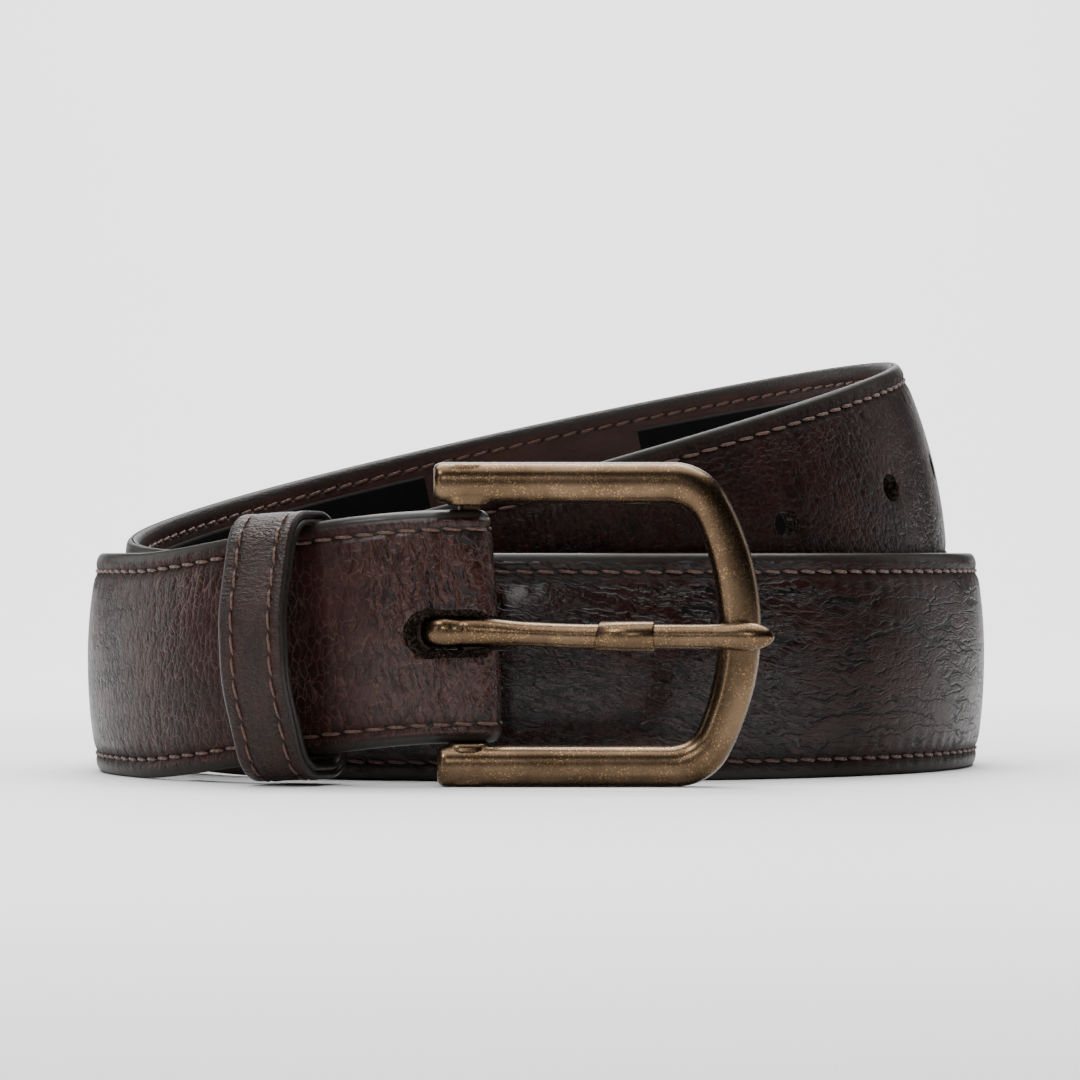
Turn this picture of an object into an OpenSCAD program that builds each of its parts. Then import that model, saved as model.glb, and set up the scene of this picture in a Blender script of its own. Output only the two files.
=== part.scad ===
// Leather belt, coiled and standing on its lower edge.
// Frame: +Z up, front of the buckle towards -Y, origin at the bottom centre of the whole part.

/* [Strap] */
// Width of the strap
strap_w = 35; // [34:0.5:36]
// Thickness of the lining
lining_t = 1.0; // [0.8:0.1:1.2]
// Height of the padding at the middle of the strap
padding_h = 1.5; // [1.2:0.1:1.6]
// Thickness of the outer leather where it covers the padding
cover_t = 1.3; // [1.1:0.1:1.4]
// Thickness of the outer leather where it is folded round the bar
fold_t = 2.3; // [2.1:0.1:2.4]
// Length of the end that is folded back behind the strap
chape_len = 50; // [44:1:54]
// Height of the strap's lower edge above the ground at the buckle
fold_lift = 6.5; // [6.3:0.1:6.6]

/* [Holes] */
// Number of punched holes
hole_count = 5; // [3:1:5]
// Distance from one hole to the next
hole_pitch = 25; // [24:0.5:25]
// Radius of a hole
hole_r = 2.1; // [1.9:0.1:2.3]
// Distance along the strap from the fold to the first hole
first_hole_s = 748; // [740:1:750]

/* [Buckle] */
// Height of the frame
frame_h = 48.6; // [48.4:0.1:49]
// Length of the frame from the end of its rails to its curved side
frame_l = 49.1; // [48.5:0.1:50]
// Depth of the frame
frame_d = 4.6; // [4.2:0.1:5]
// Height of a rail
rail_h = 6.2; // [6:0.1:6.3]
// Width of the curved side
side_w = 6.4; // [5.5:0.1:6.5]
// Radius of the hinge bar
bar_r = 1.75; // [1.6:0.05:1.8]

/* [Prong] */
// Width of the prong
prong_w = 3.9; // [3.7:0.1:4.1]
// Distance from the bar to the point of the prong
prong_l = 46.2; // [45.8:0.1:47]
// Length of the sleeve on the prong
sleeve_l = 8.7; // [7:0.1:10]

/* [Keeper] */
// Width of the keeper, along the strap
keeper_w = 11; // [8:0.5:12]
// Thickness of the keeper's outer leather
keeper_outer_t = 1.4; // [1.2:0.1:1.5]
// Thickness of the keeper's lining
keeper_lining_t = 1.1; // [0.9:0.1:1.2]
// Room between the strap's face and the inside of the keeper
keeper_gap = 7; // [6.5:0.1:8]
// Distance along the strap from the fold to the middle of the keeper
keeper_s = 28; // [27:0.5:30]

/* [Stitching] */
// Distance of a seam from the edge of the strap
seam_inset = 2.9; // [2.6:0.1:3.2]
// Width of the thread
thread_w = 0.7; // [0.6:0.1:0.9]

/* [Hidden] */
$fn = 48;

// Fit and clearance values
bar_play = 0.35;        // between the bar and the fold
prong_play = 0.08;      // between the bar and the prong's eye
keeper_play = 0.7;      // between the keeper and the strap's edges
keeper_back_play = 1.6; // between the keeper and the folded end, so that it slides on the curve
back_t = 0.6;           // outer leather behind the strap's middle line
bury = 0.12;            // depth to which a thread is pulled into the leather
glue = 0.03;            // between the padding and the leather round it

// The strap's path: arcs of [turn in degrees, radius, twist in degrees] from the fold to the tip.
// The outer turn is 142 across, 78 + 64 at the back. Its right half is the tighter one, so that the
// strap comes round to the front 16 behind the fold, with room for the folded end and the prong's eye.
// The second turn lies inside the first and climbs from its left, by the twist, until its right end
// rests on the first turn's edge.
first_straight = 6;
arcs = [
    [45, 48, 0], [40, 68, 0], [10, 130, 0],     // front, from the buckle to the left end
    [85, 78, 0], [90, 64, 0],                   // round the back to the right end
    [90, 70, 0], [20, 83, 0],                   // behind the buckle
    [80, 57, -13], [80, 71, -3],                // second turn, climbing to the right
    [60, 60, 0], [80, 58, 4],                   // right end, where it is highest
    [160, 55, 0]                                // down behind the front, to the tip
];
blend = 8;              // half length over which one arc runs into the next
lift_len = 75;          // length over which the strap comes down from the buckle to the ground
step = 7;               // distance between two stations of the sweep

// The folded end, counted backwards from the fold: round the bar, an S bend, then beside the strap
fold_r = bar_r + bar_play + back_t;
fold_len = PI * fold_r;
ess_r = 8;
ess_turn = 36;
ess_len = 2 * ess_r * ess_turn * PI / 180;
fold_step = 1;
chape_gap = 2 * fold_r - 2 * ess_r * (1 - cos(ess_turn));
inside = arcs[0][1] / (arcs[0][1] - chape_gap);

function arc_len(arc) = arc[0] * arc[1] * PI / 180;
function sums(values, i = 0, total = 0) =
    i >= len(values) ? [total] : concat([total], sums(values, i + 1, total + values[i]));
arc_ends = sums([for (arc = arcs) arc_len(arc)]);
strap_len = first_straight + arc_ends[len(arcs)];
turn_sums = sums([for (arc = arcs) arc[0]]);
twist_sums = sums([for (arc = arcs) arc[2]]);
turn_table = [for (i = [0:len(arcs)]) [first_straight + arc_ends[i], turn_sums[i]]];
twist_table = [for (i = [0:len(arcs)]) [first_straight + arc_ends[i], twist_sums[i]]];

function smooth(t) = let (c = min(1, max(0, t))) c * c * (3 - 2 * c);
function reach(s) = min(blend, s / 2);
function eased(s, table) =
    (lookup(s - reach(s), table) + 2 * lookup(s, table) + lookup(s + reach(s), table)) / 4;

// Distance from the bar along the strap, on either side of the fold
function run_at(s) = s >= 0 ? s : max(0, -s - fold_len);
function lift_at(s) = fold_lift * (1 - smooth(run_at(s) / lift_len));

// Turn of the strap's direction since the fold: ahead of it, round the bar, and beside the strap
function ess_at(run) = ess_turn * max(0, 1 - abs(run / ess_len * 2 - 1));
function turn_at(s) = s >= 0 ? eased(s, turn_table)
    : s > -fold_len ? 180 * s / fold_len
    : eased(run_at(s) * inside, turn_table) - 180 - ess_at(run_at(s));
function twist_at(s) = eased(max(0, s), twist_table);

// A station is [s, position, along, outward, up]
function turned(st, d) = [st[0], st[1],
    st[2] * cos(d) - st[3] * sin(d), st[3] * cos(d) + st[2] * sin(d), st[4]];
function twisted(st, e) = [st[0], st[1], st[2],
    st[3] * cos(e) + st[4] * sin(e), st[4] * cos(e) - st[3] * sin(e)];
function moved(st, ds) = [st[0] + ds, st[1] + st[2] * ds, st[2], st[3], st[4]];
function next_station(st, ds) = let (
        d = turn_at(st[0] + ds) - turn_at(st[0]),
        e = twist_at(st[0] + ds) - twist_at(st[0]))
    turned(twisted(moved(turned(st, d / 2), ds), e), d / 2);
function walk(st, ds, count) =
    [for (i = 0, at = st; i <= count; at = next_station(at, ds), i = i + 1) at];

start = [0, [0, 0, strap_w / 2], [-1, 0, 0], [0, -1, 0], [0, 0, 1]];
run_steps = round(strap_len / step);
ahead = walk(start, strap_len / run_steps, run_steps);
fold_steps = round((fold_len + ess_len) / fold_step);
round_bar = walk(start, -(fold_len + ess_len) / fold_steps, fold_steps);
chape_steps = round((chape_len - ess_len) / step);
beside = walk(round_bar[fold_steps], -(chape_len - ess_len) / chape_steps, chape_steps);
behind = concat([for (i = [chape_steps:-1:1]) beside[i]], [for (i = [fold_steps:-1:1]) round_bar[i]]);
stations = concat(behind, ahead);

function raised(at) = at[1] + [0, 0, lift_at(at[0])];
function place(at, w, n) = raised(at) + at[4] * w + at[3] * n;
function between(s) = let (
        i = min(run_steps - 1, max(0, floor(s / strap_len * run_steps))),
        a = ahead[i], b = ahead[i + 1], f = (s - a[0]) / (b[0] - a[0]))
    [for (k = [0:4]) a[k] * (1 - f) + b[k] * f];

// Across the strap: how full the padding is, and how wide the strap is
half_w = strap_w / 2;
tip_len = 18;
padding_start = 8;
function fullness(s) = smooth((s - 2) / 16) * smooth((strap_len - 6 - s) / 16);
function width_at(s) = s < strap_len - tip_len ? 1
    : sqrt(1 - 0.92 * pow((s - strap_len + tip_len) / tip_len, 2));
function crown_top(full) = fold_t - back_t + (padding_h + cover_t - fold_t) * full;
function crown_under(full) = -back_t + padding_h * full;
function rim_top(full) = fold_t - back_t - 0.3 + (0.85 - fold_t + back_t + 0.3) * full;
pad_edge = 13.9;
pad_shoulder = 8;

function outer_outline(s) = let (f = fullness(s), top = crown_top(f), rim = rim_top(f))
    [[-half_w, -back_t], [-half_w, 0.4], [-half_w + 0.9, rim - 0.2], [-half_w + 3.7, rim],
     [-pad_shoulder, top - 0.1 - 0.35 * f], [0, top], [pad_shoulder, top - 0.1 - 0.35 * f],
     [half_w - 3.7, rim], [half_w - 0.9, rim - 0.2], [half_w, 0.4], [half_w, -back_t],
     [pad_edge, -back_t], [0, crown_under(f)], [-pad_edge, -back_t]];
function padding_outline(s) = let (edge = pad_edge - 0.5, base = -back_t + glue)
    [[-edge, base], [0, crown_under(fullness(s)) - glue], [edge, base]];
function lining_outline(s) =
    [[-pad_edge, -back_t], [pad_edge, -back_t], [half_w - 0.1, -back_t - 0.3],
     [half_w - 0.4, -back_t - lining_t], [-half_w + 0.4, -back_t - lining_t],
     [-half_w + 0.1, -back_t - 0.3]];

// Where the buckle stands, from the start of the strap, and how far the prong leans out to lie on it
bar_at = [0, fold_r, 0];
frame_front = -7;       // front face of the frame, from the bar's axis
rail_end = -5.3;        // free ends of the rails, behind the bar's axis
frame_right = frame_l + rail_end;
rod_r = prong_w / 2;
rod_rise = 2.4;         // the rod leaves the eye this far in front of the bar's axis
prong_lean = asin((frame_front - rod_r - 0.1 + rod_rise) / (frame_right - side_w));
prong_front = -rod_rise + (prong_l - rod_r) * sin(prong_lean) - rod_r;

// Middle of the whole part in plan, so that the origin is under its centre
skins = [for (at = ahead) place(at, 0, crown_top(fullness(at[0])))];
middle_x = (min([for (p = skins) p[0]]) + max([for (p = skins) p[0]])) / 2;
middle_y = (max([for (p = skins) p[1]]) + bar_at[1] + prong_front) / 2;

// A closed tube through the stations, one ring of [across, outward] points at each. The padding takes
// the other diagonal of each patch, so that its faces lie along those of the leather round it.
module sweep(rail, outline, other_diagonal = false) {
    rings = [for (at = rail) let (ring = outline(at[0]), wide = width_at(at[0]))
        [for (p = ring) place(at, p[0] * wide, p[1])]];
    m = len(rings[0]);
    count = len(rings);
    points = [for (ring = rings) each ring];
    sides = [for (i = [0:count - 2], j = [0:m - 1]) let (
            a = i * m + j, b = i * m + (j + 1) % m)
        each other_diagonal ? [[a, a + m, b + m], [a, b + m, b]] : [[a, a + m, b], [b, a + m, b + m]]];
    ends = [[for (j = [0:m - 1]) j], [for (j = [m - 1:-1:0]) (count - 1) * m + j]];
    polyhedron(points, concat(sides, ends), convexity = 20);
}

module at_station(at, w = 0) {
    n = at[3];
    translate(place(at, w, 0)) rotate([0, acos(n[2]), atan2(n[1], n[0])]) children();
}

module centred() {
    translate([-middle_x, -middle_y, 0]) children();
}

// A punch reaches just past both faces of its own layer, and not into the layer beside it
cut_under = 2.2;
cut_over = 2.5;
module hole_cutters() {
    for (i = [0:hole_count - 1])
        at_station(between(first_hole_s + i * hole_pitch))
            translate([0, 0, -cut_under]) cylinder(r = hole_r, h = cut_under + cut_over);
}

// The slot through both layers of the fold, in which the prong swings
slot_h = 6;
slot_z = 22.9;
slot_end = -6.5;
slot_front = -4;
slot_back = 10;
module slot_cutter() {
    translate([slot_end, slot_front, slot_z - slot_h / 2]) cube([16, slot_back - slot_front, slot_h]);
    translate([slot_end, slot_back, slot_z]) rotate([90, 0, 0])
        cylinder(d = slot_h, h = slot_back - slot_front);
}

module outer_leather() {
    color("#3b2320") centred() difference() {
        sweep(stations, function (s) outer_outline(s));
        slot_cutter();
        hole_cutters();
    }
}

module strap_lining() {
    color("#4a2c22") centred() difference() {
        sweep([for (at = ahead) if (at[0] > 5) at], function (s) lining_outline(s));
        slot_cutter();
        hole_cutters();
    }
}

module padding_core() {
    color("#8a6a4c") centred() difference() {
        sweep([for (at = ahead) if (at[0] > padding_start && at[0] < strap_len - 14) at],
              function (s) padding_outline(s), other_diagonal = true);
        slot_cutter();
        hole_cutters();
    }
}

// One seam along each edge; side is +1 on the outer leather and -1 on the lining
seam_w = half_w - seam_inset;
function seam_outline(w, base, side) =
    [[w - side * thread_w / 2, base], [w, base + side * (thread_w / 2 + bury)],
     [w + side * thread_w / 2, base]];

module needle_thread() {
    rail = [for (at = ahead) if (at[0] > 2 && at[0] < strap_len - tip_len) at];
    color("#6b4028") centred() for (w = [-seam_w, seam_w])
        sweep(rail, function (s) seam_outline(w, rim_top(fullness(s)) - bury, 1));
}

module bobbin_thread() {
    rail = [for (at = ahead) if (at[0] > chape_len + 3 && at[0] < strap_len - tip_len) at];
    color("#5a3826") centred() for (w = [-seam_w, seam_w])
        sweep(rail, function (s) seam_outline(w, -back_t - lining_t + bury, -1));
}

// Black panels let on to the lining between its seams
panel_t = 0.25;
panel_half_w = 13.2;
long_panel = [540, 624];
short_panel = [664, 710];
module lining_panel(ends) {
    face = -back_t - lining_t;
    rail = concat([between(ends[0])], [for (at = ahead) if (at[0] > ends[0] + 1 && at[0] < ends[1] - 1) at],
                  [between(ends[1])]);
    color("#121212") centred()
        sweep(rail, function (s) [[panel_half_w, face], [panel_half_w - 0.2, face - panel_t],
                                  [-panel_half_w + 0.2, face - panel_t], [-panel_half_w, face]]);
}

// Frame outline in X and Z, from the bar's axis: straight rails and one bulging side
side_bulge_r = 40.5;
corner_r = 9;
lug_r = 3;
function arc_points(centre, r, from, to, count = 12) =
    [for (i = [0:count]) let (a = from + (to - from) * i / count) centre + r * [cos(a), sin(a)]];
// The corner circle touches the rail's edge and the bulging side from inside
function d_outline(left, right, half_h, r, corner) = let (
        hub = right - r,
        rise = half_h - corner,
        along = sqrt(pow(r - corner, 2) - rise * rise),
        tilt = atan2(rise, along),
        middle = [hub + along, rise])
    concat([[left, -half_h]],
           arc_points([middle[0], -middle[1]], corner, -90, -tilt),
           arc_points([hub, 0], r, -tilt, tilt, 24),
           arc_points(middle, corner, tilt, 90),
           [[left, half_h]]);

module frame_plate(depth) {
    translate([bar_at[0], bar_at[1], frame_h / 2]) rotate([90, 0, 0])
        translate([0, 0, -frame_front - frame_d]) linear_extrude(depth) difference() {
            polygon(d_outline(rail_end, frame_right, frame_h / 2, side_bulge_r, corner_r));
            polygon(d_outline(rail_end - 1, frame_right - side_w, frame_h / 2 - rail_h,
                              side_bulge_r - 2, corner_r - 4));
        }
}

// Each rail ends in a lug that reaches back to hold the bar
lug_h = rail_h - 0.4;
module buckle_frame() {
    color("#6e5a3a") centred() difference() {
        union() {
            frame_plate(frame_d);
            for (z = [0, frame_h - lug_h])
                translate([bar_at[0], bar_at[1], z]) {
                    cylinder(r = lug_r, h = lug_h);
                    translate([-lug_r, frame_front + 1, 0]) cube([2 * lug_r, -frame_front - 1, lug_h]);
                }
        }
        translate([bar_at[0], bar_at[1], bar_seat]) cylinder(r = bar_r, h = frame_h - 2 * bar_seat);
    }
}

bar_seat = 2;
module hinge_bar() {
    color("#8c8c8c") centred()
        translate([bar_at[0], bar_at[1], bar_seat]) cylinder(r = bar_r, h = frame_h - 2 * bar_seat);
}

// The prong: an eye round the bar, a rod that leans forward and a rounded point on the frame
prong_z = 22.9;
eye_r = 4.6;
eye_back = 3;
eye_h = prong_w + 0.3;
module along_prong() {
    translate([bar_at[0], bar_at[1] - rod_rise, prong_z])
        rotate([0, 0, prong_lean]) rotate([0, 90, 0]) children();
}

module prong() {
    color("#7a6440") centred() difference() {
        union() {
            translate([bar_at[0], bar_at[1], prong_z - eye_h / 2]) linear_extrude(eye_h) {
                for (x = [0, -eye_back]) translate([x, 0]) circle(eye_r);
                translate([-eye_back, -eye_r]) square([eye_back, 2 * eye_r]);
            }
            along_prong() {
                cylinder(r = rod_r, h = prong_l - rod_r);
                translate([0, 0, prong_l - rod_r]) sphere(r = rod_r);
            }
        }
        translate([bar_at[0], bar_at[1], 0]) cylinder(r = bar_r + prong_play, h = frame_h);
    }
}

sleeve_from = 19.6;
sleeve_t = 0.3;
module prong_sleeve() {
    color("#8a7350") centred() along_prong() translate([0, 0, sleeve_from]) difference() {
        cylinder(r = rod_r + sleeve_t, h = sleeve_l);
        translate([0, 0, -1]) cylinder(r = rod_r, h = sleeve_l + 2);
    }
}

// The keeper: a flat loop round both layers, in the strap's own frame at its place
keeper_at = between(keeper_s);
keeper_back = chape_gap + fold_t - back_t + keeper_back_play;
keeper_front = crown_top(1) + keeper_gap;
keeper_half_h = half_w + keeper_play;
keeper_t = keeper_outer_t + keeper_lining_t;
keeper_round = 3.2;
keeper_raise = 0.3;     // above the strap's middle line, so that the loop's lower end clears the ground
keeper_lean = 3;        // from upright; the strap slopes down by 7 degrees here

// The keeper in the strap's own directions; its own Z runs along the strap
module keeper_frame() {
    n = keeper_at[3];
    translate(place(keeper_at, keeper_raise, 0))
        rotate([0, 0, atan2(n[1], n[0])]) rotate([keeper_lean, 0, 0])
        rotate([90, 0, 0]) mirror([1, 0, 0]) children();
}

module rounded(x0, x1, half_h, r) {
    for (x = [x0 + r, x1 - r], y = [-half_h + r, half_h - r]) translate([x, y]) circle(r);
    translate([x0, -half_h + r]) square([x1 - x0, 2 * (half_h - r)]);
    translate([x0 + r, -half_h]) square([x1 - x0 - 2 * r, 2 * half_h]);
}

module keeper_ring(grow, t, w) {
    keeper_frame() translate([0, 0, -w / 2]) linear_extrude(w) difference() {
        rounded(-keeper_front - grow - t, keeper_back + grow + t, keeper_half_h + grow + t,
                keeper_round + grow + t - 1);
        rounded(-keeper_front - grow, keeper_back + grow, keeper_half_h + grow, keeper_round + grow - 1);
    }
}

module keeper_outer() {
    color("#452823") centred() keeper_ring(keeper_lining_t, keeper_outer_t, keeper_w);
}

module keeper_lining() {
    color("#2a1a17") centred() keeper_ring(0, keeper_lining_t, keeper_w);
}

keeper_seam = 3.2;
module keeper_thread() {
    color("#6b4028") centred() keeper_frame() for (z = [-keeper_seam, keeper_seam])
        translate([-keeper_front - keeper_t - 0.2, 0, z])
            rotate([90, 0, 0]) translate([0, 0, -keeper_half_h + 3])
                cylinder(r = thread_w / 2, h = 2 * keeper_half_h - 6);
}

// The staple that closes the keeper's ends behind the strap
staple_w = 6;
staple_r = 0.45;
module keeper_staple() {
    color("#b08d57") centred() keeper_frame() for (y = [-4, 4])
        translate([keeper_back + keeper_t + staple_r - 0.1, y, -staple_w / 2])
            cylinder(r = staple_r, h = staple_w);
}

outer_leather();
strap_lining();
padding_core();
needle_thread();
bobbin_thread();
lining_panel(long_panel);  // lining_panel_long
lining_panel(short_panel);  // lining_panel_short
buckle_frame();
hinge_bar();
prong();
prong_sleeve();
keeper_outer();
keeper_lining();
keeper_thread();
keeper_staple();
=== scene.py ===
"""The looks of a coiled leather belt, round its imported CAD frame. Lengths are in mm until a mesh is made."""

import math

import bmesh
import bpy
import numpy as np
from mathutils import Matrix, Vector, noise


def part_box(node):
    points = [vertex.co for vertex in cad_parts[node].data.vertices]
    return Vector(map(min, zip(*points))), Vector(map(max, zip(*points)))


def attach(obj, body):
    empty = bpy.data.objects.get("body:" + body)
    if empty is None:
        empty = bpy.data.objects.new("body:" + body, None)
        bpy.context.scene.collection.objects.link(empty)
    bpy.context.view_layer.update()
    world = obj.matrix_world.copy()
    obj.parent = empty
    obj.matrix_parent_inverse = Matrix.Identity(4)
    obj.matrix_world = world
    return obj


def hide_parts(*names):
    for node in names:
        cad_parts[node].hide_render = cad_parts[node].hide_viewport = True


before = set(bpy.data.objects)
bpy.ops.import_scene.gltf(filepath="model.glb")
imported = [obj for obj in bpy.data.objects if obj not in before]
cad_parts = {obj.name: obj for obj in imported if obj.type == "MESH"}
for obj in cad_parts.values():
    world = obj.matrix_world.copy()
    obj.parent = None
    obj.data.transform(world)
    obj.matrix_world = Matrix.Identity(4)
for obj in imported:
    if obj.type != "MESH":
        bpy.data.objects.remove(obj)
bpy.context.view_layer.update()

# ---------------------------------------------------------------- the strap's path, as in the CAD part
ARCS = [
    (45, 48, 0), (40, 68, 0), (10, 130, 0),
    (85, 78, 0), (90, 64, 0),
    (90, 70, 0), (20, 83, 0),
    (80, 57, -13), (80, 71, -3),
    (60, 60, 0), (80, 58, 4),
    (160, 55, 0),
]  # turn in degrees, radius, twist in degrees
FIRST_STRAIGHT = 6.0
BLEND = 8.0
HALF_W = 17.5
LINING_T = 1.0
BACK_T = 0.6
FOLD_T = 2.3
LINING_FACE = -BACK_T - LINING_T  # out from the strap's line
BAR_R, BAR_GAP = 1.75, 0.35
FOLD_R = BAR_R + BAR_GAP + BACK_T
FOLD_LIFT = 6.5
LIFT_LEN = 65.0
CHAPE_LEN = 50.0
ESS_R = 8.0
ESS_TURN = 36.0
FOLD_LEN = math.pi * FOLD_R
ESS_LEN = 2 * ESS_R * math.radians(ESS_TURN)
CHAPE_GAP = 2 * FOLD_R - 2 * ESS_R * (1 - math.cos(math.radians(ESS_TURN)))
INSIDE = ARCS[0][1] / (ARCS[0][1] - CHAPE_GAP)
FOLD_LEAN = math.tan(math.radians(3.2))  # the folded end leans with the slope of the strap
STITCH = 3.3
SEAM_W = HALF_W - 2.9
HOLE_R = 2.1
HOLES = [748.0 + 25.0 * i for i in range(5)]
PRONG_Z = 22.9

ends = FIRST_STRAIGHT + np.concatenate([[0], np.cumsum([math.radians(a) * r for a, r, _ in ARCS])])
turn_ends = np.concatenate([[0], np.cumsum([a for a, _, _ in ARCS])])
twist_ends = np.concatenate([[0], np.cumsum([e for _, _, e in ARCS])])
STRAP_LEN = float(ends[-1])


def smooth(t):
    c = np.clip(t, 0, 1)
    return c * c * (3 - 2 * c)


def eased(s, table):
    r = min(BLEND, s / 2)
    look = lambda x: float(np.interp(x, ends, table))
    return (look(s - r) + 2 * look(s) + look(s + r)) / 4


def run_at(s):
    return s if s >= 0 else max(0.0, -s - FOLD_LEN)


def turn_at(s):
    if s >= 0:
        return eased(s, turn_ends)
    if s > -FOLD_LEN:
        return 180 * s / FOLD_LEN
    run = run_at(s)
    ess = ESS_TURN * max(0.0, 1 - abs(run / ESS_LEN * 2 - 1))
    return eased(run * INSIDE, turn_ends) - 180 - ess


def walk(to, step):
    """Stations from the fold to s = to: s, position, along, outward, up."""
    count = round(abs(to) / step)
    ds = to / count
    s, p = 0.0, np.array([0, 0, HALF_W])
    t, n, u = np.array([-1.0, 0, 0]), np.array([0, -1.0, 0]), np.array([0, 0, 1.0])
    rows = [(s, p, t, n, u)]
    for _ in range(count):
        h = math.radians(turn_at(s + ds) - turn_at(s)) / 2
        e = math.radians(eased(max(0, s + ds), twist_ends) - eased(max(0, s), twist_ends))
        t, n = t * math.cos(h) - n * math.sin(h), n * math.cos(h) + t * math.sin(h)
        p = p + t * ds
        n, u = n * math.cos(e) + u * math.sin(e), u * math.cos(e) - n * math.sin(e)
        t, n = t * math.cos(h) - n * math.sin(h), n * math.cos(h) + t * math.sin(h)
        s += ds
        rows.append((s, p, t, n, u))
    return rows


bar_low, bar_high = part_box("hinge_bar")
bar = (np.array(bar_low) + np.array(bar_high)) * 500
SHIFT = np.array([bar[0], bar[1] - FOLD_R, 0])
rows = list(reversed(walk(-(FOLD_LEN + CHAPE_LEN), 0.4)))[:-1] + walk(STRAP_LEN, 0.85)
S = np.array([r[0] for r in rows])
P, T, N, U = (np.array([r[k] for r in rows]) for k in (1, 2, 3, 4))
RUN = np.array([run_at(s) for s in S])
P = P + SHIFT + np.outer(FOLD_LIFT * (1 - smooth(RUN / LIFT_LEN)), [0, 0, 1])
LEAN = FOLD_LEAN * (1 - smooth((RUN - 12) / 28))


def station(s):
    """Position, along, outward, up and lean at each s."""
    pick = lambda a: np.stack([np.interp(s, S, a[:, k]) for k in range(3)], -1)
    return pick(P), pick(T), pick(N), pick(U), np.interp(s, S, LEAN)


def place(s, w, n):
    """Points at s along the strap, w up from its middle and n out from its line."""
    s, w, n = np.broadcast_arrays(np.asarray(s, float), np.asarray(w, float), np.asarray(n, float))
    p, _, out, up, lean = station(s)
    q = p + up * w[..., None] + out * n[..., None]
    q[..., 0] -= w * lean
    return q


def fullness(s):
    return smooth((s - 2) / 16) * smooth((STRAP_LEN - 6 - s) / 16)


def width_at(s):
    into = np.clip((s - STRAP_LEN + 18) / 18, 0, 1)
    return np.sqrt(1 - 0.92 * into**2)


def dome(w):
    return np.clip(1 - (np.abs(w) / 13.9) ** 2, 0, 1) ** 0.72


def face(s, w):
    """How far out the outer leather's face is, before stitching pulls it in."""
    f = fullness(s)
    rim = 1.4 - 0.55 * f
    top = FOLD_T - BACK_T + 0.5 * f
    n = rim + (top - rim) * dome(w)
    into = np.clip((np.abs(w) - 15.0) / 2.5, 0, 1)
    return -0.35 + (n + 0.35) * (1 - into**2.3) ** (1 / 2.3)


def rough(x, y, seed):
    """Smooth noise in -1..1 at each (x, y)."""
    x, y = np.broadcast_arrays(x, y)
    flat = [noise.noise((a, b, seed)) for a, b in zip(x.ravel(), y.ravel())]
    return np.array(flat).reshape(x.shape)


def near_hole(s):
    """Distance along the strap to the nearest needle hole."""
    return np.abs((s / STITCH + 0.5) % 1 - 0.5) * STITCH


def pulled(s, w, depth=1.0):
    """How stitching and punching change the face: a channel, needle holes and small puckers."""
    on = smooth((s + CHAPE_LEN) / 3) * smooth((STRAP_LEN - 14 - s) / 3)
    a = np.abs(w)
    channel = -0.22 * np.exp(-(((a - SEAM_W) / 0.5) ** 2))
    needle = -0.24 * np.exp(-(((a - SEAM_W) / 0.45) ** 2) - (near_hole(s) / 0.55) ** 2)
    wave = np.cos(2 * math.pi * s / STITCH + 1.5 * rough(s / 9, w / 9, 3.3))
    uneven = 0.6 + 0.5 * rough(s / 12, w / 20, 7.7)
    pucker = -0.13 * wave * uneven * np.exp(-(((a - 12.7) / 1.5) ** 2))
    rim = -0.05 * wave * np.exp(-(((a - 15.9) / 0.7) ** 2))
    return depth * on * (channel + needle + pucker + rim)


# ---------------------------------------------------------------- materials
def material(name):
    m = bpy.data.materials.new(name)
    m.use_nodes = True
    return m, Graph(m.node_tree)


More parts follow.
